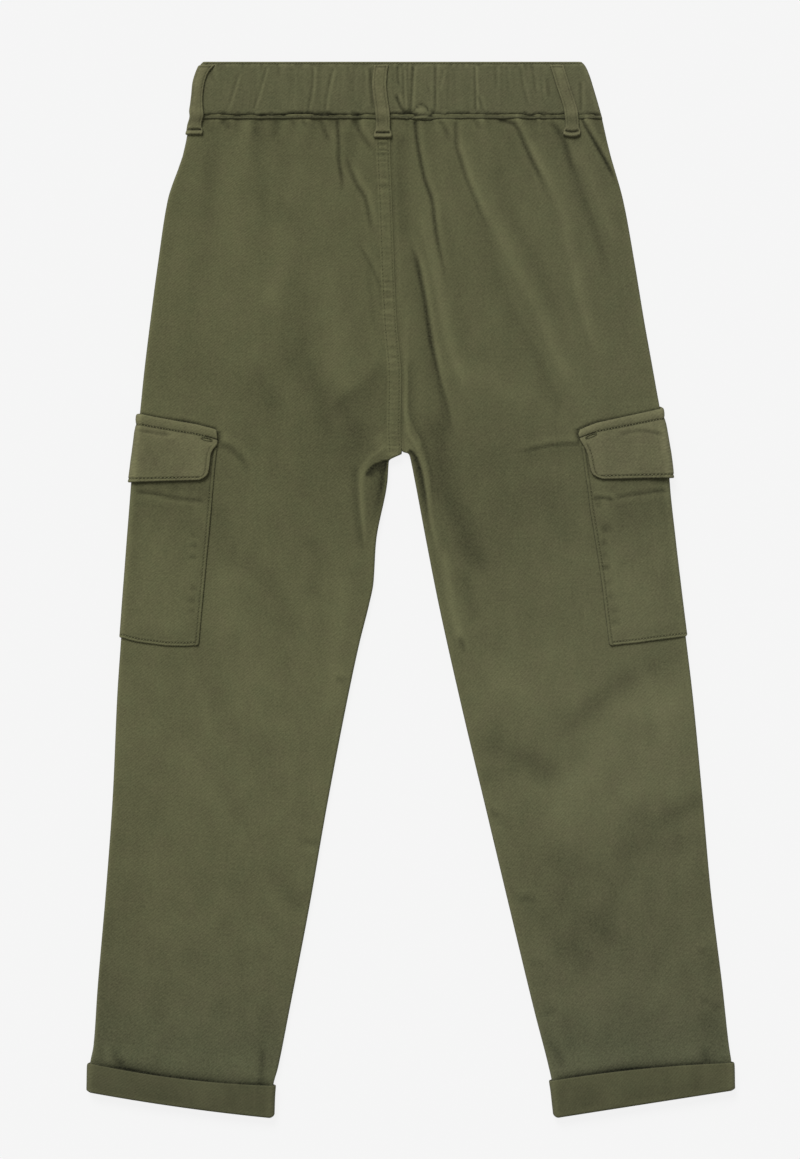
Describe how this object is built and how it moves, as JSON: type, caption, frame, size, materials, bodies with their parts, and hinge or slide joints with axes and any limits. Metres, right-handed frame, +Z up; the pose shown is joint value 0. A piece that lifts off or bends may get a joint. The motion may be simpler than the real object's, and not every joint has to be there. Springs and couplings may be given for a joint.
{
  "type": "cargo pants",
  "caption": "Pull-on twill cargo pants laid flat, back up, with gathered elastic waistband, belt loops, flapped side pockets and turned-up hems.",
  "frame": {"origin": "centre of the bounding box in plan, on the surface that the garment lies on", "axes": "+X to the right of the laid-out garment seen from above, +Y towards the waistband, +Z up, out of the garment's back"},
  "size_m": [0.4607, 0.7495, 0.0102],
  "materials": {
    "twill": "matt garment-dyed cotton twill",
    "waistband_twill": "matt cotton twill gathered over elastic",
    "turn_up_twill": "matt cotton twill, pressed"
  },
  "bodies": {
    "root": {"back_left_panel": "twill", "back_right_panel": "twill", "front_left_panel": "twill", "front_right_panel": "twill", "waistband_back": "waistband_twill", "waistband_front": "waistband_twill", "belt_loop_left": "twill", "belt_loop_centre": "twill", "belt_loop_right": "twill", "cargo_pocket_left": "twill", "cargo_pocket_right": "twill", "pocket_flap_left": "twill", "pocket_flap_right": "twill", "turn_up_left": "turn_up_twill", "turn_up_right": "turn_up_twill"}
  },
  "joints": []
}
